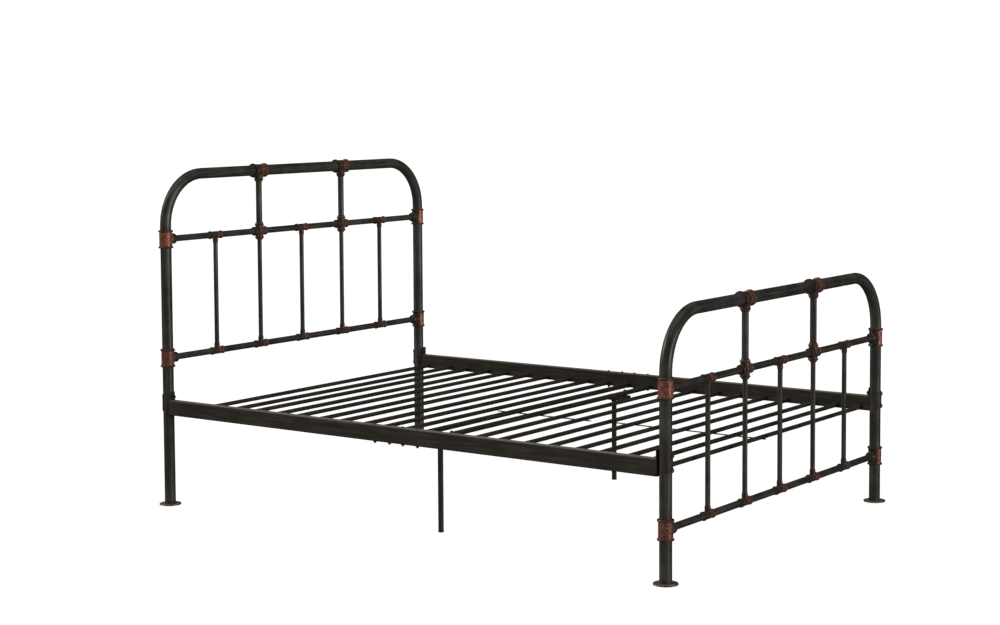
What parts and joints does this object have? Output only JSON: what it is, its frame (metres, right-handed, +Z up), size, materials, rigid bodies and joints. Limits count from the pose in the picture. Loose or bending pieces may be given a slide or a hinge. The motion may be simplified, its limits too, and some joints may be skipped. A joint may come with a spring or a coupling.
{
  "type": "metal bed frame",
  "caption": "Pipe-style metal bed frame with hooped head and foot boards, spindles, cast-look fittings, box side rails and a slatted deck on centre legs.",
  "frame": {"origin": "on the floor under the middle of the bed", "axes": "+X across the bed, +Y towards the headboard, +Z up"},
  "size_m": [1.475, 2.0748, 1.1678],
  "materials": {
    "tube_paint": "satin charcoal enamel, faintly mottled",
    "fitting_patina": "dark casting with copper-red rub-through",
    "rail_paint": "satin brown-black enamel",
    "deck_paint": "satin brown-black enamel",
    "foot_bronze": "dull bronze",
    "bolt_steel": "blackened",
    "cap_plastic": "matte black"
  },
  "bodies": {
    "root": {"bracket_bolts": "bolt_steel", "centre_leg_left": "deck_paint", "centre_leg_right": "deck_paint", "centre_strap": "deck_paint", "footboard_crosses": "fitting_patina", "footboard_feet": "foot_bronze", "footboard_hoop": "tube_paint", "footboard_lower_rail": "tube_paint", "footboard_post_tee_lower_left": "fitting_patina", "footboard_post_tee_lower_right": "fitting_patina", "footboard_post_tee_upper_left": "fitting_patina", "footboard_post_tee_upper_right": "fitting_patina", "footboard_riser_left": "tube_paint", "footboard_riser_right": "tube_paint", "footboard_spindle_1": "tube_paint", "footboard_spindle_2": "tube_paint", "footboard_spindle_3": "tube_paint", "footboard_spindle_4": "tube_paint", "footboard_spindle_5": "tube_paint", "footboard_spindle_tees": "fitting_patina", "footboard_top_tees": "fitting_patina", "footboard_upper_rail": "tube_paint", "headboard_crosses": "fitting_patina", "headboard_feet": "foot_bronze", "headboard_hoop": "tube_paint", "headboard_lower_rail": "tube_paint", "headboard_post_tee_lower_left": "fitting_patina", "headboard_post_tee_lower_right": "fitting_patina", "headboard_post_tee_upper_left": "fitting_patina", "headboard_post_tee_upper_right": "fitting_patina", "headboard_riser_left": "tube_paint", "headboard_riser_right": "tube_paint", "headboard_spindle_1": "tube_paint", "headboard_spindle_2": "tube_paint", "headboard_spindle_3": "tube_paint", "headboard_spindle_4": "tube_paint", "headboard_spindle_5": "tube_paint", "headboard_spindle_tees": "fitting_patina", "headboard_top_tees": "fitting_patina", "headboard_upper_rail": "tube_paint", "leg_bracket_left": "deck_paint", "leg_bracket_right": "deck_paint", "leg_cap_left": "cap_plastic", "leg_cap_right": "cap_plastic", "middle_bar_foot": "deck_paint", "middle_bar_head": "deck_paint", "post_bolts": "bolt_steel", "post_saddles": "tube_paint", "rail_end_plates": "rail_paint", "side_rail_left_foot": "rail_paint", "side_rail_left_head": "rail_paint", "side_rail_right_foot": "rail_paint", "side_rail_right_head": "rail_paint", "slats_foot": "deck_paint", "slats_head": "deck_paint", "splice_bolts": "bolt_steel", "splice_sleeves": "rail_paint"}
  },
  "joints": []
}
